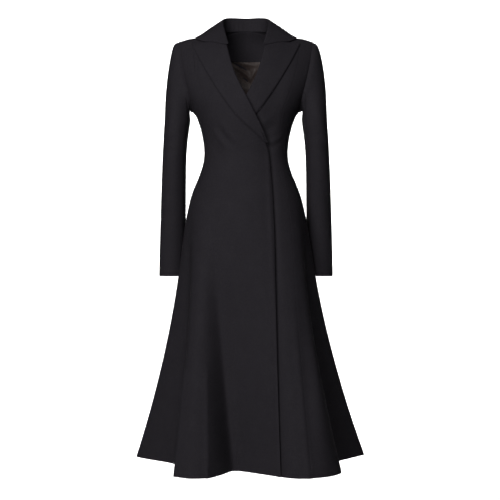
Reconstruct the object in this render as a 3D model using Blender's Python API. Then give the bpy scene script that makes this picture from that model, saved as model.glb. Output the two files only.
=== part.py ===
"""Long fit-and-flare coat with peak lapels, filled out as if worn.

Eight princess-line body panels, four sleeve pieces, collar, two lapels, back neck facing and back lining.
Metres, +Z up, -Y is the front, +X is the viewer's right. The origin is between the shoulders.
Right and left in the names are the wearer's, so the right front lies at -X and closes over the left one.
"""

import math
from collections import namedtuple

import bmesh
import bpy
from mathutils import Vector

# Driving dimensions
CLOTH = 0.0020  # wall of the coat cloth
LINING = 0.0012  # wall of the lining and the neck facing
SEAM_GAP = 0.0003
LAP_GAP = 0.0010  # between a piece and the panel that it lies on
HEM_Z = -1.188
HIP_Z = -0.465
CHEST_Z = -0.208  # level of the armpits
FOLD_TOP_Z = -0.500  # where the skirt starts to flare into folds
BREAK_Z = -0.310  # where the lapels start to turn back
SHOULDER_Y = 0.012
SHOULDER_TIP_X = 0.190
SHOULDER_TIP_Z = -0.026
SHOULDER_SLOPE = 0.36
SHOULDER_HALF_WIDTH = 0.202
NECK_X = 0.068  # side of the neck, on the shoulder seam
BACK_NECK_Z = 0.024
LOWEST_BACK_NECK = 0.55  # as a height, where the search for the back neck starts
FLARE_POWER = 1.8  # how the skirt's flare grows from the hip to the hem
FOLD_POWER = 1.1  # how its folds deepen to the hem
FRONT_CROWN = 1.6  # roundness of the chest up to the shoulder seam
BACK_CROWN = 3.0  # roundness of the upper back
ARM_WIDENING = 2.2
UNDER_DEPTH = 0.0065  # how far the left front lies below the right one at the lapels
UNDER_DEPTH_SKIRT = 0.0048
UNDER_FULL_TO = 0.60  # in panels from the centre front
UNDER_ENDS_AT = 0.96
UNDER_STARTS_Z = -0.045
UNDER_FULL_Z = -0.135
UNDER_EASES_Z = -0.340
ROLL_RADIUS = 0.0040  # the soft fold of the collar and lapels
ROLL_SETBACK = 0.0045  # how far a front's edge stays back from the fold over it
STEP = 0.004  # step of the numerical tangents

# Body sections: half width, depth to the front and the back, and the angles of the princess seams
Section = namedtuple("Section", "z half_width front back middle_y princess back_princess")
SECTIONS = (
    Section(-0.640, 0.1720, 0.152, 0.148, -0.014, 46, 134),
    Section(-0.530, 0.1700, 0.143, 0.143, -0.012, 46, 134),
    Section(-0.465, 0.1580, 0.130, 0.133, -0.008, 47, 133),
    Section(-0.425, 0.1450, 0.120, 0.121, -0.004, 49, 131),
    Section(-0.390, 0.1290, 0.109, 0.104, -0.001, 52, 129),
    Section(-0.345, 0.1165, 0.101, 0.090, 0.000, 54, 128),
    Section(-0.290, 0.1205, 0.108, 0.093, 0.000, 51, 130),
    Section(-0.240, 0.1335, 0.116, 0.102, 0.000, 47, 133),
    Section(-0.208, 0.1480, 0.118, 0.108, 0.000, 45, 135),
)
PRINCESS_AT_SHOULDER = 49.7  # both princess seams meet here on the shoulder seam

# Hem folds: place round the ring counted in panels (0 centre front, 1 princess, 2 side, 3 back princess,
# 4 centre back, negative at -X), direction from the front in degrees, and distance from the axis
Fold = namedtuple("Fold", "panel angle radius")
FOLDS = (
    Fold(-3.50, -163, 0.236),
    Fold(-3.00, -146, 0.322),
    Fold(-2.50, -127, 0.250),
    Fold(-2.00, -100, 0.322),
    Fold(-1.52, -64, 0.205),
    Fold(-1.20, -37, 0.327),
    Fold(-1.00, -26, 0.336),
    Fold(-0.80, -17, 0.314),
    Fold(-0.62, -13, 0.230),
    Fold(-0.40, -8, 0.190),
    Fold(0.10, 4, 0.216),
    Fold(0.56, 17, 0.296),
    Fold(1.00, 29, 0.340),
    Fold(1.28, 50, 0.342),
    Fold(1.60, 72, 0.232),
    Fold(2.00, 106, 0.350),
    Fold(2.50, 130, 0.270),
    Fold(3.00, 146, 0.330),
    Fold(3.50, 163, 0.238),
    Fold(4.00, 180, 0.292),
)
FOLD_CENTRE_X = 0.004
HEM_RADIUS = 0.280  # mean distance of the hem from the axis
PANELS_ROUND = 8

# Closing line of the right front: the lapel's fold down to the break, then the front edge
Closing = namedtuple("Closing", "z x")
CLOSING = (
    Closing(0.018, -0.068),
    Closing(-0.012, -0.056),
    Closing(-0.073, -0.0430),
    Closing(-0.124, -0.0265),
    Closing(-0.176, -0.0010),
    Closing(-0.233, 0.0270),
    Closing(-0.310, 0.0590),
    Closing(-0.345, 0.0640),
    Closing(-0.440, 0.0715),
    Closing(-0.600, 0.0790),
)
CLOSING_AT_HEM = 0.56  # in panels

# Armhole: how far its edge lies from the side of the body, by the height up the armhole
Armhole = namedtuple("Armhole", "rise spread")
ARMHOLE = (
    Armhole(0.00, 0),
    Armhole(0.06, 13),
    Armhole(0.16, 21),
    Armhole(0.36, 26),
    Armhole(0.65, 25),
    Armhole(1.00, 20),
)

ARMHOLE_MIDDLE_X = 0.168
ARMHOLE_MIDDLE_Z = -0.120

# Heights of the rows above the chest, shared by the panels and the sleeve heads
SHOULDER_HEIGHTS = (0.09, 0.20, 0.33, 0.47, 0.61, 0.75, 0.88, 1.0)

# Sleeve rings, from the upper arm to the cuff
Ring = namedtuple("Ring", "z x y half_width half_depth")
SLEEVE_RINGS = (
    Ring(-0.236, 0.1915, 0.012, 0.0350, 0.0570),
    Ring(-0.300, 0.1990, 0.014, 0.0325, 0.0520),
    Ring(-0.385, 0.2025, 0.022, 0.0330, 0.0480),
    Ring(-0.530, 0.2065, 0.042, 0.0345, 0.0430),
    Ring(-0.674, 0.2115, 0.060, 0.0345, 0.0390),
)
SLEEVE_COLUMNS = 16
SLEEVE_FRONT_SEAM = 6  # columns round from the outside over the front
SLEEVE_BACK_SEAM = 11
CAP_SHARE = 0.30  # share of the sleeve's rows in its head
HEAD_ROWS = (0.0, 0.035, 0.09, 0.16, 0.23)
CAP_START_PULL = 0.10
CAP_END_PULL = 0.14
ARMPIT_PULL = 0.042
ARMPIT_DROP = 0.010
ARMPIT_LIFT = 0.25  # upward share of the pull out of the armpit
HEAD_GAP = 0.0003  # between a sleeve's head and the panels, at the top
ARMPIT_GAP = 0.0013
HEAD_SEAM_GAP = 0.0013  # of the sleeve seams in the sleeve's head

# Lapel: outer edge from the break to the peak, at -X
LapelEdge = namedtuple("LapelEdge", "share x z")
LAPEL_EDGE = (
    LapelEdge(0.00, 0.0560, -0.3110),
    LapelEdge(0.15, 0.0150, -0.2740),
    LapelEdge(0.30, -0.0240, -0.2380),
    LapelEdge(0.55, -0.0740, -0.1690),
    LapelEdge(0.80, -0.1180, -0.0930),
    LapelEdge(1.00, -0.1500, -0.0330),
)
GORGE_Z = -0.0158  # where the gorge seam meets the fold
NOTCH_SHARE = 0.36  # notch, as a share of the lapel's top edge from the peak
NOTCH_RISE = 0.0095
LAPEL_START = 0.015
LAPEL_ACROSS = (0.0, 0.18, NOTCH_SHARE, 0.52, 0.68, 0.84, 0.95)
LAPEL_TURNS = (35, 75, 115, 150)  # degrees round the fold
ROLL_RADIUS_AT_BREAK = 0.0026
ROLL_GROWS = 0.25
LAPEL_BULGE = 0.0028

# Collar, half of it from the gorge to the centre back: fold, outer edge in plan, and foot of the stand
CollarRow = namedtuple("CollarRow", "share fold_x fold_y fold_z edge_x edge_y foot_x foot_y foot_z")
COLLAR = (
    CollarRow(0.00, 0.0530, -0.0470, -0.0105, 0.1400, -0.0055, 0.0590, -0.0350, -0.0075),
    CollarRow(0.22, 0.0605, -0.0190, 0.0180, 0.1430, 0.0060, 0.0600, -0.0110, 0.0100),
    CollarRow(0.45, 0.0660, 0.0180, 0.0455, 0.1300, 0.0340, 0.0625, 0.0170, 0.0212),
    CollarRow(0.72, 0.0500, 0.0560, 0.0600, 0.0860, 0.0620, 0.0450, 0.0520, 0.0230),
    CollarRow(1.00, 0.0000, 0.0760, 0.0617, 0.0000, 0.0830, 0.0000, 0.0660, 0.0252),
)
COLLAR_LIFT = 0.0032  # outer edge of the collar above the shoulders
COLLAR_BULGE = 0.0060

FACING_LOW_Z = -0.060
FACING_HALF_WIDTH = 0.074
FACING_TOP_DROP = 0.0008  # below the back neck
FACING_SIDE_DROP = 0.010
LINING_LOW_Z = -0.320
LINING_HALF_WIDTH = 0.088
INSIDE_GAP = 0.0016

BLACK_WOOL = (0.014, 0.013, 0.016, 1.0)
BROWN_LINING = (0.045, 0.034, 0.030, 1.0)

COLLECTION_NAME = "long_coat"


# Small helpers


def blend(a, b, share):
    return a + (b - a) * share


def ease(share):
    share = min(1.0, max(0.0, share))
    return share * share * (3 - 2 * share)


def spaced(first, last, count):
    return [blend(first, last, i / count) for i in range(count + 1)]


def through(rows, key, value):
    """A smooth curve through one column of a table, against another column."""
    points = sorted((getattr(row, key), getattr(row, value)) for row in rows)
    keys = [p[0] for p in points]
    values = [p[1] for p in points]
    slopes = []
    for i in range(len(points)):
        low = max(0, i - 1)
        high = min(len(points) - 1, i + 1)
        slopes.append((values[high] - values[low]) / (keys[high] - keys[low]))

    def read(at):
        if at <= keys[0]:
            return values[0]
        if at >= keys[-1]:
            return values[-1]
        i = max(j for j in range(len(keys) - 1) if keys[j] <= at)
        span = keys[i + 1] - keys[i]
        t = (at - keys[i]) / span
        a = values[i] + slopes[i] * span / 3
        b = values[i + 1] - slopes[i + 1] * span / 3
        return (
            values[i] * (1 - t) ** 3
            + 3 * a * t * (1 - t) ** 2
            + 3 * b * t * t * (1 - t)
            + values[i + 1] * t**3
        )

    return read


def fold_points():
    """The hem's crests and valleys in plan, carried once round past both ends."""
    HemPoint = namedtuple("HemPoint", "panel x y mean_x mean_y")
    points = []
    for fold in FOLDS:
        angle = math.radians(fold.angle)
        across = math.sin(angle)
        ahead = -math.cos(angle)
        x = FOLD_CENTRE_X + fold.radius * across
        mean_x = FOLD_CENTRE_X + HEM_RADIUS * across
        for turn in (-PANELS_ROUND, 0, PANELS_ROUND):
            panel = fold.panel + turn
            points.append(HemPoint(panel, x, fold.radius * ahead, mean_x, HEM_RADIUS * ahead))
    return points


HEM_POINTS = fold_points()
hem_x = through(HEM_POINTS, "panel", "x")
hem_y = through(HEM_POINTS, "panel", "y")
hem_mean_x = through(HEM_POINTS, "panel", "mean_x")
hem_mean_y = through(HEM_POINTS, "panel", "mean_y")
section_half_width = through(SECTIONS, "z", "half_width")
section_front = through(SECTIONS, "z", "front")
section_back = through(SECTIONS, "z", "back")
section_middle_y = through(SECTIONS, "z", "middle_y")
section_princess = through(SECTIONS, "z", "princess")
section_back_princess = through(SECTIONS, "z", "back_princess")
closing_x = through(CLOSING, "z", "x")
armhole_spread = through(ARMHOLE, "rise", "spread")
CHEST = SECTIONS[-1]


# The body's surface. A place on it is (panel, height): panel counts panels round from the centre front,
# height runs from -1 at the hem to 0 at the chest and to 1 at the shoulder seam.


def seam_angles(height):
    """Angles of the princess seams at a height."""
    if height <= 0:
        z = level(height)
        return section_princess(z), section_back_princess(z)
    front = blend(CHEST.princess, PRINCESS_AT_SHOULDER, height)
    back = blend(CHEST.back_princess, 180 - PRINCESS_AT_SHOULDER, height)
    return front, back


def level(height):
    return blend(CHEST_Z, HEM_Z, -height)


def height_of(z):
    return -(z - CHEST_Z) / (HEM_Z - CHEST_Z)


def ring_angle(panel, height):
    """Direction of a place on the ring, in radians from the front."""
    front, back = seam_angles(height)
    stops = (0, front, 90, back, 180, 360 - back)
    place = abs(panel)
    i = min(4, int(place))
    return math.copysign(math.radians(blend(stops[i], stops[i + 1], place - i)), panel)


def panel_at(angle, height):
    """The place on the front half of a ring that lies in this direction, in degrees."""
    front, back = seam_angles(height)
    size = abs(angle)
    if size <= front:
        place = size / front
    elif size <= 90:
        place = 1 + (size - front) / (90 - front)
    else:
        place = 2 + (size - 90) / (back - 90)
    return math.copysign(place, angle)


def ridge(x):
    """Height of the shoulder line."""
    return SHOULDER_TIP_Z + SHOULDER_SLOPE * (SHOULDER_TIP_X - abs(x))


def shoulder_half_width(rise):
    share = 1 - (1 - rise) ** ARM_WIDENING
    return blend(CHEST.half_width, SHOULDER_HALF_WIDTH, share)


def skirt_point(panel, height):
    z = level(height)
    angle = ring_angle(panel, height)
    depth = section_front(z) if math.cos(angle) > 0 else section_back(z)
    x = section_half_width(z) * math.sin(angle)
    y = section_middle_y(z) - depth * math.cos(angle)
    down = max(0.0, (FOLD_TOP_Z - z) / (FOLD_TOP_Z - HEM_Z))
    flare = down**FLARE_POWER
    fold = down**FOLD_POWER
    x = blend(x, hem_mean_x(panel), flare) + (hem_x(panel) - hem_mean_x(panel)) * fold
    y = blend(y, hem_mean_y(panel), flare) + (hem_y(panel) - hem_mean_y(panel)) * fold
    return Vector((x, y, z))


def crown_of(angle):
    return FRONT_CROWN if math.cos(angle) > 0 else BACK_CROWN


def chest_depth(angle):
    depth = CHEST.front if math.cos(angle) > 0 else CHEST.back
    return -depth * math.cos(angle)


def shoulder_point(panel, height):
    angle = ring_angle(panel, height)
    turn = math.radians(90 * min(1.0, height))
    power = 2 / crown_of(angle)
    rise = math.sin(turn) ** power
    fall = max(0.0, math.cos(turn)) ** power
    x = math.sin(angle) * shoulder_half_width(rise)
    z = blend(CHEST_Z, ridge(x), rise)
    y = blend(SHOULDER_Y, chest_depth(angle), fall)
    return Vector((x, y, z))


def body_point(panel, height):
    return skirt_point(panel, height) if height <= 0 else shoulder_point(panel, height)


def body_frame(panel, height):
    """Tangents round and up, and the outward normal of the body's surface."""
    low = max(-1.0, height - STEP)
    high = min(1.0, height + STEP)
    round_way = (body_point(panel + STEP, height) - body_point(panel - STEP, height)).normalized()
    up_way = (body_point(panel, high) - body_point(panel, low)).normalized()
    return round_way, up_way, round_way.cross(up_way).normalized()


def chest_y(x, z, face):
    """Depth of the body's surface straight behind a place in the front view. Face is -1 front, 1 back."""
    if z <= CHEST_Z:
        half_width = section_half_width(z)
        depth = section_front(z) if face < 0 else section_back(z)
        middle = section_middle_y(z)
        across = min(0.999, abs(x) / half_width)
        return middle + face * depth * math.sqrt(1 - across * across)
    crown = FRONT_CROWN if face < 0 else BACK_CROWN
    depth = CHEST.front if face < 0 else CHEST.back
    rise = min(1.0, (z - CHEST_Z) / (ridge(x) - CHEST_Z))
    across = min(0.999, abs(x) / shoulder_half_width(rise))
    fall = (1 - rise**crown) ** (1 / crown)
    return blend(SHOULDER_Y, face * depth * math.sqrt(1 - across * across), fall)


def chest_point(x, z, face, out):
    """A place in the front view, on the body's surface and moved out along its normal."""
    small = STEP / 2
    slope_x = (chest_y(x + small, z, face) - chest_y(x - small, z, face)) / STEP
    slope_z = (chest_y(x, z + small, face) - chest_y(x, z - small, face)) / STEP
    normal = Vector((-slope_x, 1.0, -slope_z)).normalized() * face
    return Vector((x, chest_y(x, z, face), z)) + normal * out


def front_place(x, z):
    """Panel and height of a place in the front view."""
    if z <= CHEST_Z:
        height = height_of(z)
        across = x / section_half_width(z)
    else:
        rise = min(1.0, (z - CHEST_Z) / (ridge(x) - CHEST_Z))
        height = math.degrees(math.asin(rise ** (FRONT_CROWN / 2))) / 90
        across = x / shoulder_half_width(rise)
    angle = math.degrees(math.asin(max(-1.0, min(1.0, across))))
    return panel_at(angle, height), height


def shoulder_top(x, y):
    """Height of the shoulders and upper back over a place in plan."""
    face = -1 if y < SHOULDER_Y else 1
    crown = FRONT_CROWN if face < 0 else BACK_CROWN
    depth = CHEST.front if face < 0 else CHEST.back
    across = min(0.98, abs(x) / SHOULDER_HALF_WIDTH)
    reach = abs(face * depth * math.sqrt(1 - across * across) - SHOULDER_Y)
    share = min(0.999, abs(y - SHOULDER_Y) / reach)
    return blend(CHEST_Z, ridge(x), (1 - share**crown) ** (1 / crown))


# Panel edges


def armhole_panel(height, way):
    """Edge of the armhole, on the front (way 1) or the back (way -1)."""
    return panel_at(90 - way * armhole_spread(height), height)


def closing_panel(height):
    """Front edge of the right front, set back where the collar and lapel fold over it."""
    z = level(height)
    if z < FOLD_TOP_Z:
        share = (FOLD_TOP_Z - z) / (FOLD_TOP_Z - HEM_Z)
        return blend(closing_panel(height_of(FOLD_TOP_Z)), CLOSING_AT_HEM, share)
    setback = ROLL_SETBACK if z > BREAK_Z else 0.0
    low = -1.0
    high = 1.0
    for _ in range(40):
        middle = (low + high) / 2
        point = body_point(middle, height)
        if point.x < closing_x(point.z) - setback:
            low = middle
        else:
            high = middle
    return low


def back_top(panel):
    """Height where the upper edge of a back panel lies: the shoulder seam, then the back neck."""
    for height in spaced(LOWEST_BACK_NECK, 1.0, 200):
        point = shoulder_point(panel, height)
        across = abs(point.x) / NECK_X
        if across < 1 and point.z > blend(BACK_NECK_Z, ridge(NECK_X), across**2):
            return height
    return 1.0


def under_depth(panel, height):
    """How far the left front lies below the right one."""
    point = body_point(panel, height)
    across = 1 - ease((panel - UNDER_FULL_TO) / (UNDER_ENDS_AT - UNDER_FULL_TO))
    below_neck = ease((UNDER_STARTS_Z - point.z) / (UNDER_STARTS_Z - UNDER_FULL_Z))
    to_skirt = ease((UNDER_EASES_Z - point.z) / (UNDER_EASES_Z - HIP_Z))
    return -across * below_neck * blend(UNDER_DEPTH, UNDER_DEPTH_SKIRT, to_skirt)


# Making pieces


def cloth_material(name, colour):
    material = bpy.data.materials.new(name)
    material.use_nodes = True
    shader = material.node_tree.nodes["Principled BSDF"]
    shader.inputs["Base Color"].default_value = colour
    shader.inputs["Roughness"].default_value = 0.85
    shader.inputs["Metallic"].default_value = 0.0
    return material


def wall(name, outer, inner, material, collection):
    """A grid primitive extruded into a wall, its two sides laid on the outer and inner points."""
    rows = len(outer) - 1
    columns = len(outer[0]) - 1
    bm = bmesh.new()
    bmesh.ops.create_grid(bm, x_segments=columns, y_segments=rows, size=1.0)
    outside = set(bm.verts)
    bmesh.ops.extrude_face_region(bm, geom=bm.faces[:], use_keep_orig=True)
    for vert in bm.verts:
        row = round((vert.co.y + 1) / 2 * rows)
        column = round((vert.co.x + 1) / 2 * columns)
        vert.co = outer[row][column] if vert in outside else inner[row][column]
    bmesh.ops.recalc_face_normals(bm, faces=bm.faces[:])
    if bm.calc_volume(signed=True) < 0:
        bmesh.ops.reverse_faces(bm, faces=bm.faces[:])
    mesh = bpy.data.meshes.new(name)
    bm.to_mesh(mesh)
    bm.free()
    mesh.materials.append(material)
    mesh.shade_smooth()
    mesh.set_sharp_from_angle(angle=math.radians(60))
    piece = bpy.data.objects.new(name, mesh)
    collection.objects.link(piece)
    return piece


def body_heights():
    """Heights of the rows: the skirt, the bodice and the shoulders."""
    skirt = [height_of(z) for z in spaced(HEM_Z, HIP_Z, 10)]
    bodice = [height_of(z) for z in spaced(HIP_Z, CHEST_Z, 8)]
    return skirt[:-1] + bodice + list(SHOULDER_HEIGHTS)


def body_panel(name, edges, columns, material, collection, depth=None, top=None):
    """One panel of the body. Edges gives the panel's two sides at a height."""
    outer = []
    inner = []
    for height in body_heights():
        first, last = edges(height)
        outer_row = []
        inner_row = []
        for i, panel in enumerate(spaced(first, last, columns)):
            at = height if top is None or height <= 0 else height * top(panel)
            round_way, up_way, normal = body_frame(panel, at)
            point = body_point(panel, at)
            inset = {0: 0.5, columns: -0.5}.get(i, 0.0) * math.copysign(SEAM_GAP, last - first)
            point = point + round_way * inset
            if height >= 1:
                point = point - up_way * SEAM_GAP * 0.5
            if depth is not None:
                point = point + normal * depth(panel, at)
            outer_row.append(point)
            inner_row.append(point - normal * CLOTH)
        outer.append(outer_row)
        inner.append(inner_row)
    return wall(name, outer, inner, material, collection)


def make_body(material, collection):
    body_panel("front_right", lambda h: (-1.0, closing_panel(h)), 10, material, collection)
    body_panel("front_left", lambda h: (-closing_panel(h), 1.0), 10, material, collection, depth=under_depth)
    for side, way in (("right", -1), ("left", 1)):

        def front_edges(height, way=way):
            outside = 2.0 if height <= 0 else armhole_panel(height, 1)
            return way * 1.0, way * outside

        def back_edges(height, way=way):
            outside = 2.0 if height <= 0 else armhole_panel(height, -1)
            return way * outside, way * 3.0

        body_panel(f"side_front_{side}", front_edges, 6, material, collection)
        body_panel(f"side_back_{side}", back_edges, 6, material, collection)

        def centre_edges(height, way=way):
            return way * 3.0, way * 4.0

        body_panel(f"back_{side}", centre_edges, 8, material, collection, top=back_top)


# Sleeves


ARMHOLE_STOPS = tuple(reversed(SHOULDER_HEIGHTS)) + (0.0,)


def armhole_place(turn, side):
    """Point, normal and way out of the armhole's edge. Turn runs once round from the top over the front."""
    turn = turn % 1.0
    way = 1 if turn <= 0.5 else -1
    place = SLEEVE_COLUMNS * (turn if way > 0 else 1 - turn)
    i = min(len(ARMHOLE_STOPS) - 2, int(place))
    height = blend(ARMHOLE_STOPS[i], ARMHOLE_STOPS[i + 1], place - i)
    panel = side * armhole_panel(height, way)
    normal = body_frame(panel, height)[2]
    middle = Vector((side * ARMHOLE_MIDDLE_X, SHOULDER_Y, ARMHOLE_MIDDLE_Z))
    point = body_point(panel, height)
    inward = middle - point
    inward = (inward - normal * inward.dot(normal)).normalized()
    return point, normal, inward


ring_x = through(SLEEVE_RINGS, "z", "x")
ring_y = through(SLEEVE_RINGS, "z", "y")
ring_half_width = through(SLEEVE_RINGS, "z", "half_width")
ring_half_depth = through(SLEEVE_RINGS, "z", "half_depth")
UPPER_ARM_Z = SLEEVE_RINGS[0].z
CUFF_Z = SLEEVE_RINGS[-1].z


def sleeve_ring_point(turn, z, side):
    angle = 2 * math.pi * turn
    x = side * (ring_x(z) + ring_half_width(z) * math.cos(angle))
    y = ring_y(z) - ring_half_depth(z) * math.sin(angle)
    return Vector((x, y, z))


def sleeve_point(turn, along, side):
    """Along runs from 0 at the armhole to 1 at the cuff."""
    if along >= CAP_SHARE:
        z = blend(UPPER_ARM_Z, CUFF_Z, (along - CAP_SHARE) / (1 - CAP_SHARE))
        return sleeve_ring_point(turn, z, side)
    start, normal, way_out = armhole_place(turn, side)
    top = (1 + math.cos(2 * math.pi * turn)) / 2
    start = start + way_out * blend(ARMPIT_GAP, HEAD_GAP, top)
    end = sleeve_ring_point(turn, UPPER_ARM_Z, side)
    outward = Vector((side, 0.0, ARMPIT_LIFT * (1 - top)))
    pull_out = outward * blend(ARMPIT_PULL, CAP_START_PULL, top)
    pull_down = Vector((0.0, 0.0, -blend(ARMPIT_DROP, CAP_END_PULL, top)))
    t = along / CAP_SHARE
    return (
        start * (2 * t**3 - 3 * t**2 + 1)
        + pull_out * (t**3 - 2 * t**2 + t)
        + end * (3 * t**2 - 2 * t**3)
        + pull_down * (t**3 - t**2)
    )


def sleeve_normal(turn, along, side):
    if along <= 0:
        return armhole_place(turn, side)[1]
    round_way = sleeve_point(turn + STEP, along, side) - sleeve_point(turn - STEP, along, side)
    low = max(0.0, along - STEP)
    high = min(1.0, along + STEP)
    down_way = sleeve_point(turn, high, side) - sleeve_point(turn, low, side)
    return round_way.cross(down_way).normalized() * -side


def sleeve_piece(name, first, last, side, material, collection):
    columns = last - first
    alongs = list(HEAD_ROWS) + spaced(CAP_SHARE, 1.0, 8)
    outer = []
    inner = []
    for along in alongs:
        outer_row = []
        inner_row = []
        for i in range(columns + 1):
            turn = (first + i) / SLEEVE_COLUMNS
            point = sleeve_point(turn, along, side)
            normal = sleeve_normal(turn, along, side)
            round_way = (sleeve_point(turn + STEP, along, side) - point).normalized()
            gap = HEAD_SEAM_GAP if along < CAP_SHARE else SEAM_GAP
            inset = {0: 0.5, columns: -0.5}.get(i, 0.0) * gap
            point = point + round_way * inset
            outer_row.append(point)
            inner_row.append(point - normal * CLOTH)
        outer.append(outer_row)
        inner.append(inner_row)
    return wall(name, outer, inner, material, collection)


def make_sleeves(material, collection):
    for side_name, side in (("right", -1), ("left", 1)):
        upper = f"sleeve_upper_{side_name}"
        under = f"sleeve_under_{side_name}"
        over_top = SLEEVE_BACK_SEAM - SLEEVE_COLUMNS
        sleeve_piece(upper, over_top, SLEEVE_FRONT_SEAM, side, material, collection)
        sleeve_piece(under, SLEEVE_FRONT_SEAM, SLEEVE_BACK_SEAM, side, material, collection)


# Collar and lapels


def sheet_normals(grid, outward):
    """Normals of a grid of points, turned to the side that outward gives at the grid's first corner."""
    rows = len(grid) - 1
    columns = len(grid[0]) - 1
    normals = []
    for r in range(rows + 1):
        row = []
        for c in range(columns + 1):
            along = grid[min(rows, r + 1)][c] - grid[max(0, r - 1)][c]
            across = grid[r][min(columns, c + 1)] - grid[r][max(0, c - 1)]
            row.append(along.cross(across).normalized())
        normals.append(row)
    if normals[rows // 2][0].dot(outward) < 0:
        normals = [[-n for n in row] for row in normals]
    return normals


def folded_sheet(name, grid, outward, thickness, material, collection):
    """A wall whose outer side is the grid."""
    normals = sheet_normals(grid, outward)
    inner = [[p - n * thickness for p, n in zip(pr, nr)] for pr, nr in zip(grid, normals)]
    return wall(name, grid, inner, material, collection)


lapel_x = through(LAPEL_EDGE, "share", "x")
lapel_z = through(LAPEL_EDGE, "share", "z")


def lapel_point(x, z, lift, drop, side):
    """A point of a lapel, at x and z of the right lapel, off its front by a share of the bulge."""
    depth = under_depth(*front_place(-x, z)) if side > 0 else 0.0
    bulge = LAPEL_BULGE * lift * (1 + depth / UNDER_DEPTH)
    point = chest_point(x, z, -1, depth + LAP_GAP + CLOTH + bulge - drop)
    return Vector((-side * point.x, point.y, point.z))


def lapel_row(share, side):
    """One row of a lapel: from its outer edge over the chest to the fold, and round the front's edge."""
    fold_z = blend(BREAK_Z, GORGE_Z, share)
    fold_x = closing_x(fold_z)
    edge_x = lapel_x(share)
    edge_z = lapel_z(share)
    radius = blend(ROLL_RADIUS_AT_BREAK, ROLL_RADIUS, ease(share / ROLL_GROWS))
    row = []
    for across in LAPEL_ACROSS:
        x = blend(edge_x, fold_x, across)
        z = blend(edge_z, fold_z, across)
        rise = across / NOTCH_SHARE if across < NOTCH_SHARE else (1 - across) / (1 - NOTCH_SHARE)
        lift = math.sin(math.pi * across / 2) ** 2
        row.append(lapel_point(x, z + NOTCH_RISE * rise * share**6, lift, 0.0, side))
    for turn in LAPEL_TURNS:
        reach = radius * (math.sin(math.radians(turn)) - 1)
        drop = radius * (1 - math.cos(math.radians(turn)))
        row.append(lapel_point(fold_x + reach, fold_z, 1.0, drop, side))
    return row


def make_lapels(material, collection):
    for name, side in (("lapel_right", -1), ("lapel_left", 1)):
        grid = [lapel_row(share, side) for share in spaced(LAPEL_START, 1.0, 11)]
        folded_sheet(name, grid, Vector((0, -1, 0)), CLOTH, material, collection)


COLLAR_COLUMNS = [c for c in CollarRow._fields if c != "share"]
collar_read = {c: through(COLLAR, "share", c) for c in COLLAR_COLUMNS}


def collar_section(share, side):
    """One section of the collar: foot of the stand, up to the fold, and down the fall to its edge."""
    at = {c: collar_read[c](share) for c in COLLAR_COLUMNS}
    fold = Vector((at["fold_x"], at["fold_y"], at["fold_z"]))
    foot = Vector((at["foot_x"], at["foot_y"], at["foot_z"]))
    edge = Vector((at["edge_x"], at["edge_y"], 0.0))
    edge.z = shoulder_top(edge.x, edge.y) + COLLAR_LIFT + CLOTH
    to_edge = (edge - fold).normalized()
    to_foot = (foot - fold).normalized()
    up = -(to_edge + to_foot).normalized()
    out = to_edge - to_foot
    out = (out - up * out.dot(up)).normalized()
    middle = fold - up * ROLL_RADIUS
    stand_top = middle - out * ROLL_RADIUS
    fall_top = middle + out * ROLL_RADIUS
    section = [blend(foot, stand_top, s) for s in (0.0, 0.5)]
    for turn in (180, 135, 90, 45):
        angle = math.radians(turn)
        section.append(middle + out * ROLL_RADIUS * math.cos(angle) + up * ROLL_RADIUS * math.sin(angle))
    for s in (0.12, 0.32, 0.55, 0.78, 1.0):
        point = blend(fall_top, edge, s) + (up + out).normalized() * COLLAR_BULGE * math.sin(math.pi * s)
        floor = shoulder_top(point.x, point.y) + COLLAR_LIFT + CLOTH
        point.z = max(point.z, floor)
        section.append(point)
    return [Vector((side * p.x, p.y, p.z)) for p in section]


def make_collar(material, collection):
    shares = spaced(0.0, 1.0, 10)
    grid = [collar_section(s, -1) for s in shares]
    grid += [collar_section(s, 1) for s in reversed(shares[:-1])]
    flipped = [list(reversed(row)) for row in grid]
    folded_sheet("collar", flipped, Vector((0, 0.5, 1)), CLOTH, material, collection)


# Inside of the back


InsidePanel = namedtuple("InsidePanel", "name top low half_width rows columns")


def inside_panel(panel, material, collection):
    """A thin panel lying on the inside of the back. Its top gives the upper edge across the back."""
    outer = []
    inner = []
    for down in spaced(0.0, 1.0, panel.rows):
        outer_row = []
        inner_row = []
        for x in spaced(-panel.half_width, panel.half_width, panel.columns):
            z = blend(panel.top(x), panel.low, down)
            outer_row.append(chest_point(x, z, 1, -CLOTH - INSIDE_GAP))
            inner_row.append(chest_point(x, z, 1, -CLOTH - INSIDE_GAP - LINING))
        outer.append(outer_row)
        inner.append(inner_row)
    return wall(panel.name, outer, inner, material, collection)


def facing_top(x):
    across = min(1.0, abs(x) / NECK_X)
    return blend(BACK_NECK_Z, ridge(NECK_X) - FACING_SIDE_DROP, across**2) - FACING_TOP_DROP


def lining_top(x):
    return FACING_LOW_Z - SEAM_GAP


def make_inside(cloth, lining, collection):
    facing_panel = InsidePanel("back_neck_facing", facing_top, FACING_LOW_Z, FACING_HALF_WIDTH, 4, 10)
    lining_panel = InsidePanel("back_lining", lining_top, LINING_LOW_Z, LINING_HALF_WIDTH, 8, 10)
    inside_panel(facing_panel, cloth, collection)
    inside_panel(lining_panel, lining, collection)


def main():
    for thing in list(bpy.data.objects):
        bpy.data.objects.remove(thing)
    collection = bpy.data.collections.new(COLLECTION_NAME)
    bpy.context.scene.collection.children.link(collection)
    wool = cloth_material("black_wool", BLACK_WOOL)
    satin = cloth_material("brown_lining", BROWN_LINING)
    make_body(wool, collection)
    make_sleeves(wool, collection)
    make_lapels(wool, collection)
    make_collar(wool, collection)
    make_inside(wool, satin, collection)


main()
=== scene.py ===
# Long wool coat with peak lapels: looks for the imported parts, in metres, front at -Y

import math

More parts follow.
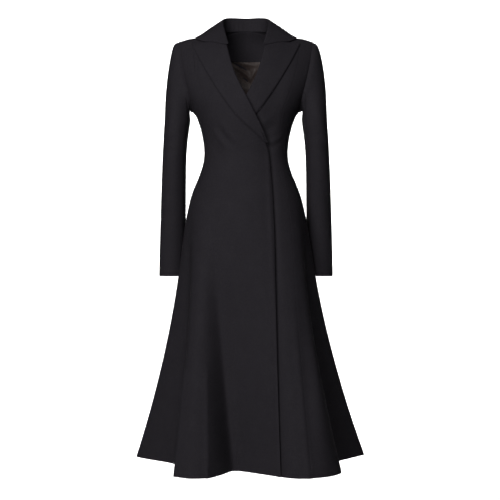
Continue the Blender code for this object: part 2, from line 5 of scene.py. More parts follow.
import bpy
import numpy as np
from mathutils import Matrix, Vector, kdtree, noise


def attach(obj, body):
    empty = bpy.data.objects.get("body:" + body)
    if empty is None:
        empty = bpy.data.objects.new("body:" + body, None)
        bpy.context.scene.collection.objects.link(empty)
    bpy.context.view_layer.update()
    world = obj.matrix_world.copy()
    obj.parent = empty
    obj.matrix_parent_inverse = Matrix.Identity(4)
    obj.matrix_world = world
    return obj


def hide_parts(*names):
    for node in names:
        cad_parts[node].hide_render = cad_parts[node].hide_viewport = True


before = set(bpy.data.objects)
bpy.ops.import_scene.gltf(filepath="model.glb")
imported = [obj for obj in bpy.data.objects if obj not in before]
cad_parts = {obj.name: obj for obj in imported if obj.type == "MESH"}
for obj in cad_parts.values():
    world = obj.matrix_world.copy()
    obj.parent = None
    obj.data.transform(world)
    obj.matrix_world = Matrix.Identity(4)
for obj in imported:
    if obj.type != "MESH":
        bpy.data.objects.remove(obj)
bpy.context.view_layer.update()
print("frame loaded:", len(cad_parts), "nodes")


# Camera, at the photo's angle

photoView = {"x": 0.0112, "distance": 3.7, "height": -0.6, "widthShown": 1.4, "sensor": 36.0}


def placeCamera():
    bpy.ops.object.camera_add(
        location=(photoView["x"], -photoView["distance"], photoView["height"]),
        rotation=(math.radians(90), 0, 0),
    )
    camera = bpy.context.object
    camera.name = "photoCamera"
    camera.data.sensor_width = photoView["sensor"]
    camera.data.lens = photoView["sensor"] * photoView["distance"] / photoView["widthShown"]
    bpy.context.scene.camera = camera


placeCamera()
print("camera placed")


# Node groups shared by the materials

def addNode(tree, kind, place, **settings):
    node = tree.nodes.new(kind)
    node.location = place
    for key, value in settings.items():
        setattr(node, key, value)
    return node


grainLook = {
    "pebbleDetail": 2.5,
    "pebbleRoughness": 0.55,
    "threadDetail": 1.0,
    "threadStretch": (1.0, 1.0, 0.22),
    "threadShare": 0.65,
}


def makeGrainGroup():
    # pebbled crepe surface with slightly twisted threads running down the cloth
    group = bpy.data.node_groups.new("crepeGrain", "ShaderNodeTree")
    face = group.interface
    face.new_socket("Vector", in_out="INPUT", socket_type="NodeSocketVector")
    face.new_socket("Pebbles per metre", in_out="INPUT", socket_type="NodeSocketFloat")
    face.new_socket("Threads per metre", in_out="INPUT", socket_type="NodeSocketFloat")
    face.new_socket("Height", in_out="OUTPUT", socket_type="NodeSocketFloat")
    start = addNode(group, "NodeGroupInput", (-800, 0))
    end = addNode(group, "NodeGroupOutput", (600, 0))
    pebble = addNode(group, "ShaderNodeTexNoise", (-400, 150))
    pebble.inputs["Detail"].default_value = grainLook["pebbleDetail"]
    pebble.inputs["Roughness"].default_value = grainLook["pebbleRoughness"]
    stretch = addNode(group, "ShaderNodeMapping", (-600, -150))
    stretch.inputs["Scale"].default_value = grainLook["threadStretch"]
    thread = addNode(group, "ShaderNodeTexNoise", (-400, -150))
    thread.inputs["Detail"].default_value = grainLook["threadDetail"]
    both = addNode(group, "ShaderNodeMath", (0, 0), operation="MULTIPLY_ADD")
    both.inputs[1].default_value = grainLook["threadShare"]
    links = group.links
    links.new(start.outputs["Vector"], pebble.inputs["Vector"])
    links.new(start.outputs["Pebbles per metre"], pebble.inputs["Scale"])
    links.new(start.outputs["Vector"], stretch.inputs["Vector"])
    links.new(stretch.outputs["Vector"], thread.inputs["Vector"])
    links.new(start.outputs["Threads per metre"], thread.inputs["Scale"])
    links.new(thread.outputs["Fac"], both.inputs[0])
    links.new(pebble.outputs["Fac"], both.inputs[2])
    links.new(both.outputs["Value"], end.inputs["Height"])
    return group


mottleLook = {
    "clouds": 28,
    "flecks": 420,
    "cloudDetail": 3.0,
    "fleckDetail": 2.0,
    "cloudShare": 0.2,
    "spreadFrom": 0.3,
    "spreadTo": 0.7,
}


def makeMottleGroup():
    # uneven dye and nap: a wide cloudiness and a fine fleck
    group = bpy.data.node_groups.new("unevenDye", "ShaderNodeTree")
    face = group.interface
    face.new_socket("Vector", in_out="INPUT", socket_type="NodeSocketVector")
    cloud = face.new_socket("Clouds per metre", in_out="INPUT", socket_type="NodeSocketFloat")
    cloud.default_value = mottleLook["clouds"]
    fleckSize = face.new_socket("Flecks per metre", in_out="INPUT", socket_type="NodeSocketFloat")
    fleckSize.default_value = mottleLook["flecks"]
    face.new_socket("Mask", in_out="OUTPUT", socket_type="NodeSocketFloat")
    start = addNode(group, "NodeGroupInput", (-800, 0))
    end = addNode(group, "NodeGroupOutput", (600, 0))
    wide = addNode(group, "ShaderNodeTexNoise", (-400, 150))
    wide.inputs["Detail"].default_value = mottleLook["cloudDetail"]
    fine = addNode(group, "ShaderNodeTexNoise", (-400, -150))
    fine.inputs["Detail"].default_value = mottleLook["fleckDetail"]
    mix = addNode(group, "ShaderNodeMix", (0, 0), data_type="FLOAT")
    mix.inputs["Factor"].default_value = mottleLook["cloudShare"]
    spread = addNode(group, "ShaderNodeMapRange", (250, 0))
    spread.inputs["From Min"].default_value = mottleLook["spreadFrom"]
    spread.inputs["From Max"].default_value = mottleLook["spreadTo"]
    links = group.links
    links.new(start.outputs["Vector"], wide.inputs["Vector"])
    links.new(start.outputs["Clouds per metre"], wide.inputs["Scale"])
    links.new(start.outputs["Vector"], fine.inputs["Vector"])
    links.new(start.outputs["Flecks per metre"], fine.inputs["Scale"])
    links.new(fine.outputs["Fac"], mix.inputs["A"])
    links.new(wide.outputs["Fac"], mix.inputs["B"])
    links.new(mix.outputs["Result"], spread.inputs["Value"])
    links.new(spread.outputs["Result"], end.inputs["Mask"])
    return group


grainGroup = makeGrainGroup()
mottleGroup = makeMottleGroup()


# Materials

woolLook = {
    "dark": (0.0126, 0.0114, 0.0138, 1.0),
    "light": (0.0176, 0.0160, 0.0191, 1.0),
    "roughLow": 0.72,
    "roughHigh": 0.88,
    "sheen": 0.0,
    "sheenRoughness": 0.40,
    "specular": 0.04,
    "pebbles": 700,
    "threads": 900,
    "bump": 0.45,
    "bumpDepth": 0.0005,
}

satinLook = {
    "dark": (0.0190, 0.0134, 0.0122, 1.0),
    "light": (0.0420, 0.0302, 0.0276, 1.0),
    "roughLow": 0.42,
    "roughHigh": 0.55,
    "sheen": 0.05,
    "sheenRoughness": 0.35,
    "specular": 0.14,
    "pebbles": 1100,
    "threads": 1600,
    "bump": 0.15,
    "bumpDepth": 0.0002,
}


def makeCloth(name, look):
    material = bpy.data.materials.new(name)
    material.use_nodes = True
    tree = material.node_tree
    shader = tree.nodes["Principled BSDF"]
    shader.inputs["Specular IOR Level"].default_value = look["specular"]
    shader.inputs["Sheen Weight"].default_value = look["sheen"]
    shader.inputs["Sheen Roughness"].default_value = look["sheenRoughness"]
    where = addNode(tree, "ShaderNodeTexCoord", (-1200, 0))
    mottle = addNode(tree, "ShaderNodeGroup", (-900, 200), node_tree=mottleGroup)
    grain = addNode(tree, "ShaderNodeGroup", (-900, -250), node_tree=grainGroup)
    grain.inputs["Pebbles per metre"].default_value = look["pebbles"]
    grain.inputs["Threads per metre"].default_value = look["threads"]
    colour = addNode(tree, "ShaderNodeMix", (-500, 250), data_type="RGBA")
    colour.inputs["A"].default_value = look["dark"]
    colour.inputs["B"].default_value = look["light"]
    rough = addNode(tree, "ShaderNodeMapRange", (-500, 0))
    rough.inputs["To Min"].default_value = look["roughHigh"]
    rough.inputs["To Max"].default_value = look["roughLow"]
    bump = addNode(tree, "ShaderNodeBump", (-500, -250))
    bump.inputs["Strength"].default_value = look["bump"]
    bump.inputs["Distance"].default_value = look["bumpDepth"]
    links = tree.links
    links.new(where.outputs["Object"], mottle.inputs["Vector"])
    links.new(where.outputs["Object"], grain.inputs["Vector"])
    links.new(mottle.outputs["Mask"], colour.inputs["Factor"])
    links.new(mottle.outputs["Mask"], rough.inputs["Value"])
    links.new(colour.outputs["Result"], shader.inputs["Base Color"])
    links.new(rough.outputs["Result"], shader.inputs["Roughness"])
    links.new(grain.outputs["Height"], bump.inputs["Height"])
    links.new(bump.outputs["Normal"], shader.inputs["Normal"])
    return material


blackWool = makeCloth("blackWoolCrepe", woolLook)
brownSatin = makeCloth("brownSatin", satinLook)
print("materials made")


# Cloth copies of the CAD pieces

def selectOnly(thing):
    bpy.ops.object.select_all(action="DESELECT")
    thing.select_set(True)
    bpy.context.view_layer.objects.active = thing


copyLook = {"merge": 0.00002, "faceAngle": 60, "shapeAngle": 70, "cutAngle": 55}


def copyCloth(node, levels, material):
    # merge the loose triangles, hold the cut edges with creases, and smooth the rest
    cloth = bpy.data.objects.new(node + "_cloth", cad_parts[node].data.copy())
    bpy.context.scene.collection.objects.link(cloth)
    selectOnly(cloth)
    bpy.ops.object.mode_set(mode="EDIT")
    bpy.ops.mesh.select_all(action="SELECT")
    bpy.ops.mesh.remove_doubles(threshold=copyLook["merge"])
    bpy.ops.mesh.tris_convert_to_quads(
        face_threshold=math.radians(copyLook["faceAngle"]),
        shape_threshold=math.radians(copyLook["shapeAngle"]),
    )
    bpy.ops.mesh.select_all(action="DESELECT")
    bpy.ops.mesh.select_mode(type="EDGE")
    bpy.ops.mesh.edges_select_sharp(sharpness=math.radians(copyLook["cutAngle"]))
    bpy.ops.transform.edge_crease(value=1.0)
    bpy.ops.object.mode_set(mode="OBJECT")
    smooth = cloth.modifiers.new("smoothCloth", "SUBSURF")
    smooth.levels = levels
    smooth.render_levels = levels
    bpy.ops.object.modifier_apply(modifier=smooth.name)
    cloth.data.materials.clear()
    cloth.data.materials.append(material)
    return cloth


def readPoints(cloth):
    points = np.zeros(len(cloth.data.vertices) * 3)
    cloth.data.vertices.foreach_get("co", points)
    return points.reshape(-1, 3)


def writePoints(cloth, points):
    cloth.data.vertices.foreach_set("co", points.ravel())
    cloth.data.update()


def ease(share):
    share = np.clip(share, 0.0, 1.0)
    return share * share * (3 - 2 * share)


def fallOff(distance, width):
    # one at no distance, and sinking smoothly to nothing further away
    return np.exp(-((distance / width) ** 2))


creaseLook = {"steps": 33, "reachInWidths": 3, "growRate": 1.4, "fadePower": 0.7}


def bentLine(path, count):
    # points along a curve from the first place to the last, drawn towards the middle one
    start, bend, end = np.array(path, float)
    steps = np.linspace(0, 1, count)[:, None]
    return start * (1 - steps) ** 2 + 2 * bend * steps * (1 - steps) + end * steps**2


def asideAndAlong(places, path, count):
    # how far each place lies aside from a bent line, and the share of the line's length it is at
    line = bentLine(path, count)
    steps = np.gradient(line, axis=0)
    sizes = np.linalg.norm(steps, axis=1)
    closest = np.linalg.norm(places[:, None, :] - line[None, :, :], axis=2).argmin(1)
    apart = places - line[closest]
    ahead = (apart * steps[closest]).sum(1) / sizes[closest]
    aside = np.sqrt(np.maximum((apart**2).sum(1) - ahead**2, 0.0))
    return aside, np.clip((closest + ahead / sizes[closest]) / (count - 1), 0.0, 1.0)


def creaseHeight(places, path, width, depth, grows):
    # a soft trough or ridge along a bent line, fading out at its ends, or growing towards its far end
    heights = np.zeros(len(places))
    line = bentLine(path, creaseLook["steps"])
    low = line.min(0) - creaseLook["reachInWidths"] * width
    high = line.max(0) + creaseLook["reachInWidths"] * width
    near = np.where(((places > low) & (places < high)).all(1))[0]
    if len(near) == 0:
        return heights
    aside, share = asideAndAlong(places[near], path, creaseLook["steps"])
    if grows:
        fade = ease(share * creaseLook["growRate"])
    else:
        fade = np.maximum(np.sin(np.pi * share), 0.0) ** creaseLook["fadePower"]
    heights[near] = depth * fade * fallOff(aside, width)
    return heights


def sumCreases(places, creases):
    heights = np.zeros(len(places))
    for path, width, depth, grows in creases:
        heights += creaseHeight(places, path, width, depth, grows)
    return heights


def cutEdgeDistance(cloth, points):
    # how far each point is from the nearest cut edge of its piece
    creases = np.zeros(len(cloth.data.edges))
    cloth.data.attributes["crease_edge"].data.foreach_get("value", creases)
    ends = np.zeros(len(cloth.data.edges) * 2, int)
    cloth.data.edges.foreach_get("vertices", ends)
    rim = np.unique(ends.reshape(-1, 2)[creases > 0.5])
    tree = kdtree.KDTree(len(rim))
    for place, i in enumerate(rim):
        tree.insert(points[i], place)
    tree.balance()
    return np.array([tree.find(p)[2] for p in points])


waveLook = {"stretch": (1.0, 1.0, 0.35), "seedTurn": 0.7}


def slowWaves(points, size, seed):
    # quiet unevenness of hanging cloth, longer down the cloth than across it
    shift = Vector((seed, seed * waveLook["seedTurn"], 0))
    stretch = Vector(waveLook["stretch"])
    return np.array([noise.noise((Vector(p) * stretch) / size + shift) for p in points])


# Gentle pulls on all the cloth at once, with the centre and shift as on the wearer's left

handPulls = [
    # sides, centre, reach, shift
    ((-1, 1), (0.166, 0.005, -0.030), (0.046, 0.060, 0.040), (0.0, 0.0, 0.0095)),
    ((-1,), (0.203, 0.008, -0.042), (0.017, 0.050, 0.026), (0.0, 0.0, 0.0090)),
    ((1,), (0.200, 0.008, -0.042), (0.016, 0.050, 0.024), (0.0, 0.0, 0.0050)),
    ((-1, 1), (0.055, -0.047, -0.012), (0.036, 0.048, 0.030), (-0.0040, -0.0150, -0.0210)),
    ((-1, 1), (0.116, -0.022, -0.014), (0.030, 0.040, 0.025), (0.0, -0.0060, -0.0090)),
    ((-1, 1), (0.147, 0.012, -0.206), (0.009, 0.045, 0.014), (0.0, 0.0, -0.0090)),
    ((1,), (0.202, -0.185, -0.990), (0.034, 0.100, 0.300), (0.0, -0.0230, 0.0)),
]


def pullByHand(points):
    pulled = points.copy()
    for sides, centre, reach, shift in handPulls:
        for side in sides:
            mirror = np.array((side, 1.0, 1.0))
            apart = (points - np.array(centre) * mirror) / np.array(reach)
            pulled += np.exp(-(apart**2).sum(1))[:, None] * np.array(shift) * mirror
    return pulled


edgeFinish = {"bevel": 0.0006, "segments": 2, "sharpAngle": 50}


def finishCloth(cloth, node):
    writePoints(cloth, pullByHand(readPoints(cloth)))
    selectOnly(cloth)
    soften = cloth.modifiers.new("turnedEdge", "BEVEL")
    soften.width = edgeFinish["bevel"]
    soften.segments = edgeFinish["segments"]
    soften.limit_method = "ANGLE"
    soften.angle_limit = math.radians(edgeFinish["sharpAngle"])
    bpy.ops.object.modifier_apply(modifier=soften.name)
    bpy.ops.object.shade_smooth_by_angle(angle=math.radians(edgeFinish["sharpAngle"]))
    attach(cloth, "root")
    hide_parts(node)


# Body panels, with the creases of the whole body in the front view (x, z)

bodyLook = {
    "levels": 3,
    "seamDepth": 0.0004,
    "seamWidth": 0.0024,
    "waves": 0.0005,
    "waveSize": 0.11,
    "waveSeed": 3.1,
    "waveTop": -0.08,
    "waveFade": 0.1,
    "seamClose": 0.0003,
    "seamRows": 40,
    "axisY": -0.005,
    "sideBlend": 2.0,
    "fadeTop": (-0.075, -0.030),
    "frontCreases": [
        # path, width, depth, grows
        ([(-0.094, -0.520), (-0.090, -0.840), (-0.046, -1.190)], 0.020, -0.0250, True),
        ([(-0.108, -0.700), (-0.106, -0.920), (-0.104, -1.210)], 0.015, -0.0065, True),
        ([(-0.138, -0.640), (-0.142, -0.900), (-0.152, -1.190)], 0.022, 0.0035, True),
        ([(0.118, -0.640), (0.136, -0.900), (0.160, -1.190)], 0.009, 0.0036, True),
        ([(0.110, -0.640), (0.124, -0.900), (0.140, -1.190)], 0.024, 0.0040, True),
        ([(0.052, -0.600), (0.056, -0.900), (0.064, -1.190)], 0.020, -0.0035, True),
        ([(-0.012, -0.520), (-0.006, -0.850), (0.004, -1.190)], 0.034, 0.0030, True),
        ([(-0.090, -0.262), (-0.074, -0.296), (-0.045, -0.330)], 0.0075, 0.0030, False),
        ([(-0.080, -0.258), (-0.062, -0.292), (-0.030, -0.322)], 0.0075, -0.0028, False),
        ([(-0.066, -0.250), (-0.048, -0.284), (-0.014, -0.312)], 0.0085, 0.0024, False),
        ([(-0.098, -0.300), (-0.082, -0.330), (-0.060, -0.352)], 0.0060, -0.0010, False),
        ([(0.060, -0.311), (0.078, -0.300), (0.103, -0.283)], 0.0065, 0.0019, False),
        ([(0.062, -0.322), (0.082, -0.313), (0.104, -0.298)], 0.0060, -0.0014, False),
        ([(0.034, -0.263), (0.054, -0.250), (0.084, -0.226)], 0.0090, 0.0016, False),
        ([(0.046, -0.284), (0.064, -0.270), (0.090, -0.250)], 0.0070, -0.0012, False),
        ([(-0.1500, -0.052), (-0.1480, -0.080), (-0.1420, -0.116)], 0.0050, -0.0034, False),
        ([(-0.1390, -0.066), (-0.1375, -0.090), (-0.1345, -0.120)], 0.0045, -0.0026, False),
        ([(-0.1445, -0.060), (-0.1425, -0.085), (-0.1385, -0.118)], 0.0040, 0.0020, False),
        ([(-0.100, -0.372), (-0.084, -0.384), (-0.056, -0.388)], 0.0080, -0.0010, False),
        ([(0.070, -0.372), (0.084, -0.382), (0.106, -0.384)], 0.0070, -0.0012, False),
    ],
    "backCreases": [
        ([(-0.085, -0.330), (-0.050, -0.346), (-0.012, -0.340)], 0.0080, -0.0018, False),
        ([(0.090, -0.338), (0.058, -0.352), (0.016, -0.350)], 0.0075, -0.0016, False),
        ([(-0.070, -0.352), (-0.036, -0.366), (0.000, -0.362)], 0.0085, 0.0014, False),
        ([(0.100, -0.250), (0.088, -0.285), (0.060, -0.318)], 0.0075, 0.0014, False),
        ([(-0.104, -0.246), (-0.090, -0.284), (-0.066, -0.312)], 0.0070, 0.0013, False),
        ([(-0.060, -0.620), (-0.072, -0.900), (-0.086, -1.190)], 0.028, -0.0060, True),
        ([(0.058, -0.650), (0.066, -0.900), (0.084, -1.190)], 0.026, -0.0050, True),
        ([(0.010, -0.560), (0.004, -0.880), (-0.004, -1.190)], 0.030, 0.0045, True),
        ([(-0.150, -0.680), (-0.172, -0.900), (-0.196, -1.190)], 0.024, 0.0040, True),
        ([(0.146, -0.660), (0.170, -0.920), (0.200, -1.190)], 0.026, 0.0040, True),
    ],
}

# the under side of the wrap gives way along the edge that crosses it: path, width, depth, grows
crossingCrease = ([(-0.010, -0.150), (0.031, -0.238), (0.072, -0.335)], 0.0100, -0.0065, False)

bodyPanels = [
    # node, flat width and length of the cut, its area, and the creases that only this piece has
    {
        "node": "front_right",
        "flat": (0.300, 1.240),
        "area": 0.249,
        "edgeCreases": [([(0.056, -0.280), (0.073, -0.640), (0.088, -1.260)], 0.0060, 0.0030, False)],
    },
    {
        "node": "front_left",
        "flat": (0.300, 1.240),
        "area": 0.238,
        "edgeCreases": [
            ([(0.058, -0.250), (0.088, -0.660), (0.0945, -1.450)], 0.0110, -0.0100, False),
            crossingCrease,
        ],
    },
    {"node": "side_front_right", "flat": (0.400, 1.200), "area": 0.203},
    {"node": "side_front_left", "flat": (0.420, 1.200), "area": 0.216},
    {"node": "side_back_right", "flat": (0.300, 1.200), "area": 0.159},
    {"node": "side_back_left", "flat": (0.300, 1.200), "area": 0.157},
    {"node": "back_right", "flat": (0.290, 1.230), "area": 0.184},
    {"node": "back_left", "flat": (0.290, 1.230), "area": 0.186},
]


def outFromBody(points):
    out = points - np.array((0.0, bodyLook["axisY"], 0.0))
    out[:, 2] = 0.0
    return out / np.maximum(np.linalg.norm(out, axis=1), 1e-6)[:, None]


def bodyCreaseHeight(points):
    out = outFromBody(points)
    front = ease(0.5 - out[:, 1] * bodyLook["sideBlend"])
    back = ease(0.5 + out[:, 1] * bodyLook["sideBlend"])
    places = points[:, [0, 2]]
    heights = front * sumCreases(places, bodyLook["frontCreases"])
    heights += back * sumCreases(places, bodyLook["backCreases"])
    topLow, topHigh = bodyLook["fadeTop"]
    return heights * ease((topHigh - points[:, 2]) / (topHigh - topLow))


def closeSeams(points, out, edge):
    # each panel reaches a little further round the body, so that it meets its neighbours
    turn = np.arctan2(out[:, 0], -out[:, 1])
    rowCount = bodyLook["seamRows"]
    levels = np.linspace(points[:, 2].min(), points[:, 2].max(), rowCount + 1)
    rows = np.clip(np.digitize(points[:, 2], levels) - 1, 0, rowCount - 1)
    middles = np.zeros(len(points))
    for row in np.unique(rows):
        here = rows == row
        middles[here] = (turn[here].min() + turn[here].max()) / 2
    reach = bodyLook["seamClose"] * np.sign(turn - middles) * fallOff(edge, bodyLook["seamWidth"])
    return np.stack((-out[:, 1], out[:, 0], np.zeros(len(points))), axis=1) * reach[:, None]


for panel in bodyPanels:
    cloth = copyCloth(panel["node"], bodyLook["levels"], blackWool)
    points = readPoints(cloth)
    out = outFromBody(points)
    lift = bodyCreaseHeight(points) + sumCreases(points[:, [0, 2]], panel.get("edgeCreases", []))
    waves = slowWaves(points, bodyLook["waveSize"], bodyLook["waveSeed"])
    lift += bodyLook["waves"] * waves * ease((bodyLook["waveTop"] - points[:, 2]) / bodyLook["waveFade"])
    edge = cutEdgeDistance(cloth, points)
    lift -= bodyLook["seamDepth"] * fallOff(edge, bodyLook["seamWidth"])
    writePoints(cloth, points + out * lift[:, None] + closeSeams(points, out, edge))
    finishCloth(cloth, panel["node"])
    print("body panel made:", panel["node"])


# Sleeves, with creases in (way round from the outside towards the front, z)

sleeveLook = {
    "levels": 3,
    "girthRadius": 0.040,
    "axis": [
        # z, distance from the middle of the coat, y
        (-0.674, 0.2115, 0.060),
        (-0.385, 0.2025, 0.022),
        (-0.236, 0.1915, 0.012),
        (-0.100, 0.1800, 0.012),
    ],
    "seamDepth": 0.0006,
    "seamWidth": 0.0022,
    "waves": 0.0010,
    "waveSize": 0.070,
    "waveSeed": 5.7,
    "fadeTop": (-0.190, -0.130),
    "tuckReach": 0.0035,
    "tuckIn": 0.0016,
    "tuckDown": 0.0008,
    "headLow": -0.216,
    "creases": {
        -1: [
            ([(0.070, -0.292), (0.040, -0.305), (0.004, -0.300)], 0.0085, -0.0022, False),
            ([(0.076, -0.318), (0.048, -0.334), (0.014, -0.330)], 0.0080, -0.0018, False),
            ([(0.060, -0.268), (0.042, -0.282), (0.016, -0.282)], 0.0080, 0.0014, False),
            ([(0.058, -0.205), (0.052, -0.250), (0.040, -0.290)], 0.0080, 0.0016, False),
            ([(0.060, -0.380), (0.040, -0.430), (0.026, -0.500)], 0.0100, -0.0013, False),
            ([(0.020, -0.540), (0.030, -0.590), (0.034, -0.650)], 0.0100, 0.0012, False),
            ([(-0.070, -0.300), (-0.046, -0.318), (-0.020, -0.322)], 0.0085, -0.0018, False),
            ([(-0.080, -0.340), (-0.054, -0.352), (-0.030, -0.350)], 0.0080, 0.0015, False),
        ],
        1: [
            ([(0.074, -0.316), (0.044, -0.328), (0.006, -0.322)], 0.0085, -0.0024, False),
            ([(0.066, -0.290), (0.044, -0.300), (0.020, -0.296)], 0.0075, 0.0014, False),
            ([(0.078, -0.344), (0.050, -0.358), (0.022, -0.356)], 0.0075, -0.0014, False),
            ([(0.056, -0.200), (0.052, -0.245), (0.044, -0.300)], 0.0080, 0.0017, False),
            ([(0.054, -0.400), (0.036, -0.460), (0.030, -0.520)], 0.0110, -0.0013, False),
            ([(0.016, -0.560), (0.026, -0.610), (0.030, -0.660)], 0.0100, 0.0012, False),
            ([(-0.072, -0.310), (-0.050, -0.326), (-0.022, -0.330)], 0.0085, -0.0018, False),
            ([(-0.078, -0.280), (-0.052, -0.292), (-0.028, -0.290)], 0.0080, 0.0014, False),
        ],
    },
}

sleevePieces = [
    {"node": "sleeve_upper_right", "side": -1, "flat": (0.220, 0.660), "area": 0.107},
    {"node": "sleeve_upper_left", "side": 1, "flat": (0.220, 0.660), "area": 0.107},
    {"node": "sleeve_under_right", "side": -1, "flat": (0.120, 0.590), "area": 0.047},
    {"node": "sleeve_under_left", "side": 1, "flat": (0.120, 0.590), "area": 0.047},
]


def sleeveOut(points, side):
    axis = np.array(sleeveLook["axis"])
    x = side * np.interp(points[:, 2], axis[:, 0], axis[:, 1])
    y = np.interp(points[:, 2], axis[:, 0], axis[:, 2])
    out = np.stack((points[:, 0] - x, points[:, 1] - y, np.zeros(len(points))), axis=1)
    out /= np.maximum(np.linalg.norm(out, axis=1), 1e-6)[:, None]
    turn = np.arctan2(-out[:, 1], side * out[:, 0])
    return out, turn * sleeveLook["girthRadius"]


for piece in sleevePieces:
    cloth = copyCloth(piece["node"], sleeveLook["levels"], blackWool)
    points = readPoints(cloth)
    out, wayRound = sleeveOut(points, piece["side"])
    places = np.stack((wayRound, points[:, 2]), axis=1)
    lift = sumCreases(places, sleeveLook["creases"][piece["side"]])
    lift += sleeveLook["waves"] * slowWaves(points, sleeveLook["waveSize"], sleeveLook["waveSeed"])
    topLow, topHigh = sleeveLook["fadeTop"]
    lift *= ease((topHigh - points[:, 2]) / (topHigh - topLow))
    edge = cutEdgeDistance(cloth, points)
    lift -= sleeveLook["seamDepth"] * fallOff(edge, sleeveLook["seamWidth"])
    moved = points + out * lift[:, None]
    # the head's edge goes under the edge of the armhole
    tuck = fallOff(edge, sleeveLook["tuckReach"]) * (points[:, 2] > sleeveLook["headLow"])
    moved[:, 0] -= piece["side"] * sleeveLook["tuckIn"] * tuck
    moved -= out * (sleeveLook["tuckDown"] * tuck)[:, None]
    writePoints(cloth, moved)
    finishCloth(cloth, piece["node"])
    print("sleeve piece made:", piece["node"])


# Lapels lie on the fronts, so they take the same creases as the body

lapelLook = {
    "levels": 3,
    "waves": 0.0004,
    "waveSize": 0.060,
    "waveSeed": 8.3,
    "edgeSteps": 65,
    "outerEdge": [(-0.150, -0.033), (-0.085, -0.188), (0.056, -0.311)],
    "rollHeight": 0.0034,
    "rollWidth": 0.0032,
    "rollFade": 0.055,
    "edgeBand": 0.012,
}

lapels = [
    {"node": "lapel_right", "side": -1, "flat": (0.110, 0.330), "area": 0.0234, "creases": []},
    {"node": "lapel_left", "side": 1, "flat": (0.110, 0.330), "area": 0.0226, "creases": [crossingCrease]},
]


def lapelRoll(points, edge, side):
    # the lapel springs up off the front and turns down to it along its outer edge
    places = np.stack((-side * points[:, 0], points[:, 2]), axis=1)
    aside = asideAndAlong(places, lapelLook["outerEdge"], lapelLook["edgeSteps"])[0]
    gaps = edge + (aside - edge) * ease((aside - lapelLook["edgeBand"]) / lapelLook["edgeBand"])
    turned = 1 - fallOff(gaps, lapelLook["rollWidth"])
    return lapelLook["rollHeight"] * turned * fallOff(gaps, lapelLook["rollFade"])


for lapel in lapels:
    cloth = copyCloth(lapel["node"], lapelLook["levels"], blackWool)
    points = readPoints(cloth)
    lift = bodyCreaseHeight(points)
    lift += lapelLook["waves"] * slowWaves(points, lapelLook["waveSize"], lapelLook["waveSeed"])
    lift += lapelRoll(points, cutEdgeDistance(cloth, points), lapel["side"])
    lift += sumCreases(points[:, [0, 2]], lapel["creases"])
    writePoints(cloth, points + outFromBody(points) * lift[:, None])
    finishCloth(cloth, lapel["node"])
    print("lapel made:", lapel["node"])


# Collar, its stand quilted with faint upright ridges on the inside of the neck

collarLook = {
    "levels": 3,
    "ridgeSpacing": 0.012,
    "ridgeDepth": 0.0004,
    "standLow": 0.024,
    "standLowFade": 0.006,
    "standHigh": 0.050,
    "standHighFade": 0.008,
    "standBackY": 0.076,
    "footTop": 0.034,
    "footFade": 0.008,
    "footDrop": 0.0022,
    "footFrontY": 0.03,
    "flat": (0.420, 0.110),
    "area": 0.0359,
}

collar = copyCloth("collar", collarLook["levels"], blackWool)
points = readPoints(collar)
onStand = ease((points[:, 2] - collarLook["standLow"]) / collarLook["standLowFade"])
onStand *= ease((collarLook["standHigh"] - points[:, 2]) / collarLook["standHighFade"])
onStand *= (points[:, 1] > 0.0) * (points[:, 1] < collarLook["standBackY"])
ridges = np.cos(2 * np.pi * points[:, 0] / collarLook["ridgeSpacing"])
points[:, 1] -= collarLook["ridgeDepth"] * onStand * ridges
# the foot of the stand goes down behind the neck edge of the back
onFoot = ease((collarLook["footTop"] - points[:, 2]) / collarLook["footFade"])
points[:, 2] -= collarLook["footDrop"] * onFoot * (points[:, 1] > collarLook["footFrontY"])
writePoints(collar, points)
finishCloth(collar, "collar")
print("collar made")


# Inside of the back: a neck facing of the coat cloth and the satin lining below it

facingLook = {"levels": 3, "flat": (0.160, 0.090), "area": 0.0127}

liningLook = {
    "levels": 3,
    "flat": (0.190, 0.265),
    "area": 0.0472,
    "creases": [
        # path, width, depth, grows: in (x, z)
        ([(-0.046, -0.060), (-0.014, -0.072), (0.016, -0.092)], 0.0050, 0.0042, False),
        ([(-0.036, -0.072), (-0.012, -0.084), (0.010, -0.104)], 0.0050, -0.0040, False),
        ([(-0.010, -0.062), (0.012, -0.070), (0.036, -0.072)], 0.0050, -0.0034, False),
        ([(-0.020, -0.096), (0.000, -0.108), (0.014, -0.126)], 0.0050, 0.0036, False),
        ([(0.030, -0.078), (0.020, -0.096), (0.008, -0.116)], 0.0050, -0.0034, False),
        ([(-0.030, -0.128), (0.006, -0.146), (0.040, -0.138)], 0.0080, -0.0020, False),
        ([(0.050, -0.070), (0.040, -0.110), (0.022, -0.160)], 0.0065, -0.0016, False),
        ([(-0.056, -0.100), (-0.040, -0.150), (-0.020, -0.200)], 0.0080, -0.0018, False),
        ([(0.000, -0.170), (0.010, -0.220), (0.006, -0.300)], 0.0090, -0.0018, False),
    ],
}

facing = copyCloth("back_neck_facing", facingLook["levels"], blackWool)
finishCloth(facing, "back_neck_facing")

lining = copyCloth("back_lining", liningLook["levels"], brownSatin)
points = readPoints(lining)
points[:, 1] += sumCreases(points[:, [0, 2]], liningLook["creases"])
writePoints(lining, points)
finishCloth(lining, "back_lining")
print("inside of the back made")


# Stage: one pale sheet that curves up from the floor, and soft studio light

stageLook = {
    "floorZ": -1.60,
    "front": -0.9,
    "back": 6.2,
    "halfWidth": 2.6,
    "height": 4.6,
    "bend": 1.2,
    "bendSegments": 16,
    "edgeBand": 0.01,
    "colour": 0.93,
    "roughness": 0.95,
    "specular": 0.1,
}


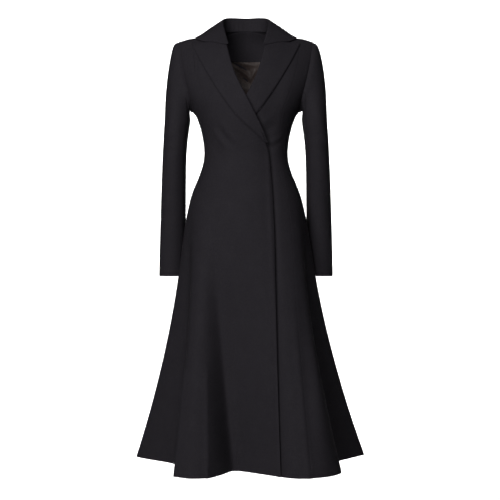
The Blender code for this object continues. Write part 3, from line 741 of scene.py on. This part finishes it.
def makeStage():
    bpy.ops.object.select_all(action="DESELECT")
    bpy.ops.mesh.primitive_plane_add(size=2, location=(0, 0, stageLook["floorZ"]))
    sweep = bpy.context.object
    sweep.name = "paleSweep"
    depth = stageLook["back"] - stageLook["front"]
    bpy.ops.transform.resize(value=(stageLook["halfWidth"], depth / 2, 1))
    bpy.ops.transform.translate(value=(0, (stageLook["back"] + stageLook["front"]) / 2, 0))
    bpy.ops.object.transform_apply(location=True, rotation=True, scale=True)
    for edge in sweep.data.edges:
        ends = [sweep.data.vertices[i].co.y for i in edge.vertices]
        edge.select = min(ends) > stageLook["back"] - stageLook["edgeBand"]
    for vert in sweep.data.vertices:
        vert.select = vert.co.y > stageLook["back"] - stageLook["edgeBand"]
    for polygon in sweep.data.polygons:
        polygon.select = False
    bpy.ops.object.mode_set(mode="EDIT")
    bpy.ops.mesh.select_mode(type="EDGE")
    bpy.ops.mesh.extrude_region_move(TRANSFORM_OT_translate={"value": (0, 0, stageLook["height"])})
    bpy.ops.object.mode_set(mode="OBJECT")
    curve = sweep.modifiers.new("curveUp", "BEVEL")
    curve.width = stageLook["bend"]
    curve.segments = stageLook["bendSegments"]
    curve.limit_method = "ANGLE"
    bpy.ops.object.modifier_apply(modifier=curve.name)
    bpy.ops.object.shade_smooth()
    paper = bpy.data.materials.new("palePaper")
    paper.use_nodes = True
    shader = paper.node_tree.nodes["Principled BSDF"]
    shader.inputs["Base Color"].default_value = (stageLook["colour"],) * 3 + (1,)
    shader.inputs["Roughness"].default_value = stageLook["roughness"]
    shader.inputs["Specular IOR Level"].default_value = stageLook["specular"]
    sweep.data.materials.append(paper)


lightLook = {
    "ambient": 0.05,
    "lamps": [
        # name, place, aim, size, spread in degrees, watts
        ("keyLamp", (-1.2, -3.05, 0.55), (0.0, 0.0, -0.55), 1.5, 120, 50),
        ("topLamp", (0.10, -2.3, 1.8), (0.0, 0.0, -0.55), 0.7, 120, 8),
        ("fillLamp", (0.0, -3.9, -0.3), (0.0, 0.0, -0.55), 1.2, 120, 6),
        ("sweepLampLeft", (-1.6, 3.9, 1.9), (-0.7, 6.2, -0.4), 1.2, 110, 75),
        ("sweepLampRight", (1.6, 3.9, 1.9), (0.7, 6.2, -0.4), 1.2, 110, 75),
        ("floorLamp", (0.0, 3.4, 2.4), (0.0, 3.5, -1.6), 1.6, 75, 110),
    ],
}


def makeLights():
    world = bpy.data.worlds.new("studioWorld")
    world.use_nodes = True
    sky = world.node_tree.nodes["Background"]
    sky.inputs["Color"].default_value = (1, 1, 1, 1)
    sky.inputs["Strength"].default_value = lightLook["ambient"]
    bpy.context.scene.world = world
    for name, place, aim, size, spread, watts in lightLook["lamps"]:
        bpy.ops.object.light_add(type="AREA", location=place)
        lamp = bpy.context.object
        lamp.name = name
        lamp.data.size = size
        lamp.data.spread = math.radians(spread)
        lamp.data.energy = watts
        lamp.rotation_euler = (Vector(aim) - Vector(place)).to_track_quat("-Z", "Y").to_euler()


makeStage()
makeLights()
bpy.context.scene.view_settings.view_transform = "Standard"
print("stage and lights made")
